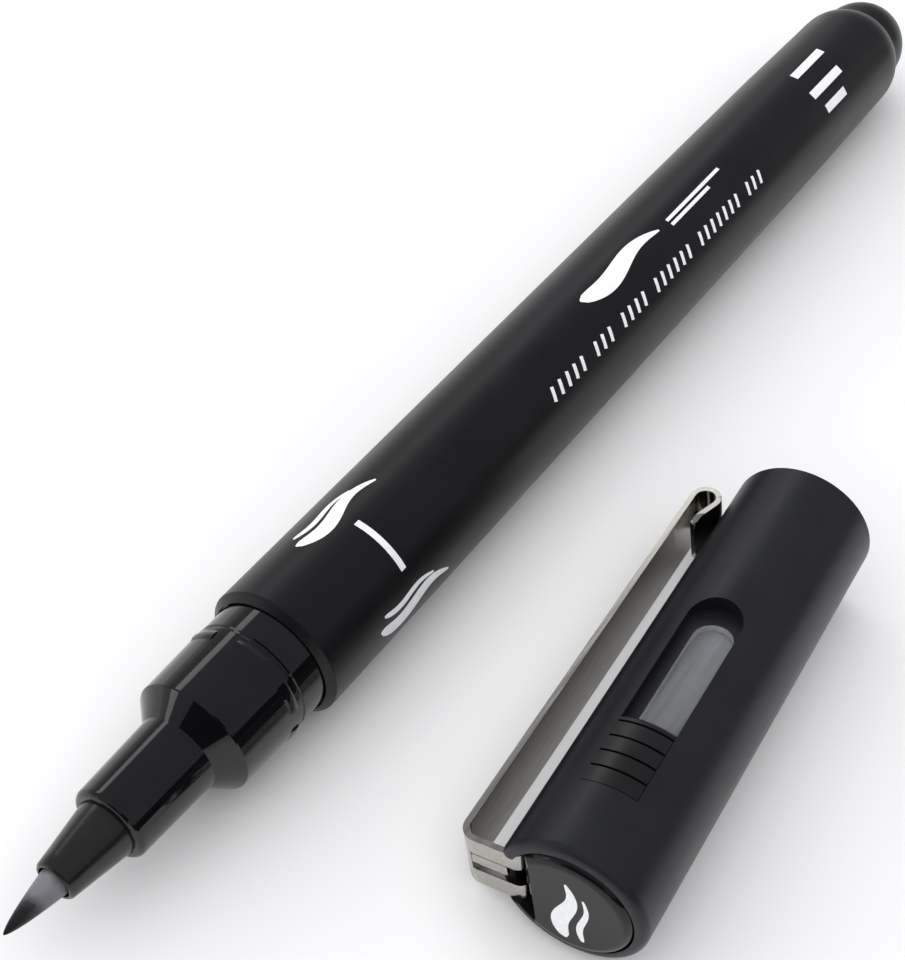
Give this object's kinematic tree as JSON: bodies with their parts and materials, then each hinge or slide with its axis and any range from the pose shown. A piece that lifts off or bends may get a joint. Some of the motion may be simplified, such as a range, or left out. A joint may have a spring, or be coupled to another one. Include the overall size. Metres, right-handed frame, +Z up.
{
  "type": "brush pen",
  "caption": "Slim round brush pen lying uncapped: flexible pointed nib in a stepped front section, with its clip cap lying beside it.",
  "frame": {"origin": "middle of the whole set's footprint, on the table it lies on", "axes": "+X runs along the pen from the nib towards the tail, +Y from the cap towards the pen, +Z up; the table is z = 0"},
  "size_m": [0.1296, 0.0384, 0.011],
  "materials": {
    "barrel_black": "satin",
    "section_black": "gloss",
    "holder_black": "satin",
    "nib_fibre": "ink-soaked",
    "stem_fibre": "ink-soaked fibre",
    "ink_fibre": "ink-soaked fibre",
    "film_clear": "clear film",
    "plug_black": "satin",
    "cap_black": "satin",
    "cup_white": "matte",
    "window_smoke": "smoked",
    "rib_black": "satin",
    "badge_black": "gloss",
    "clip_steel": "polished",
    "print_white": "pad-printed ink"
  },
  "bodies": {
    "pen": {"barrel": "barrel_black", "grip_section": "section_black", "nib_holder": "holder_black", "nib_stem": "stem_fibre", "ink_reservoir": "ink_fibre", "reservoir_film": "film_clear", "tail_plug": "plug_black"},
    "nib": {"brush_nib": "nib_fibre"},
    "cap_core": {"inner_cap": "cup_white"},
    "cap": {"cap_shell": "cap_black", "window": "window_smoke", "thumb_ribs": "rib_black", "end_badge": "badge_black"},
    "clip": {"clip": "clip_steel"}
  },
  "joints": [
    {"name": "cap_pull", "type": "slide", "parent": "pen", "child": "cap_core", "axis": [0.9978, 0.0659, 0], "range_m": [-0.045, 0]},
    {"name": "cap_turn", "type": "hinge", "parent": "cap_core", "child": "cap", "pos_m": [-0.00261, -0.01117, 0.0055], "axis": [0.9978, 0.0659, 0], "range_deg": [-9, 215]},
    {"name": "clip_flex", "type": "hinge", "parent": "cap", "child": "clip", "pos_m": [-0.04118, -0.00991, 0.00462], "axis": [-0.0148, 0.2245, 0.9744], "range_deg": [0, 4], "stiffness_Nm_per_rad": 0.6},
    {"name": "nib_flex", "type": "hinge", "parent": "pen", "child": "nib", "pos_m": [-0.0602, 0.0137, 0.0055], "axis": [0, 1, 0], "range_deg": [-18, 18], "stiffness_Nm_per_rad": 0.01}
  ]
}
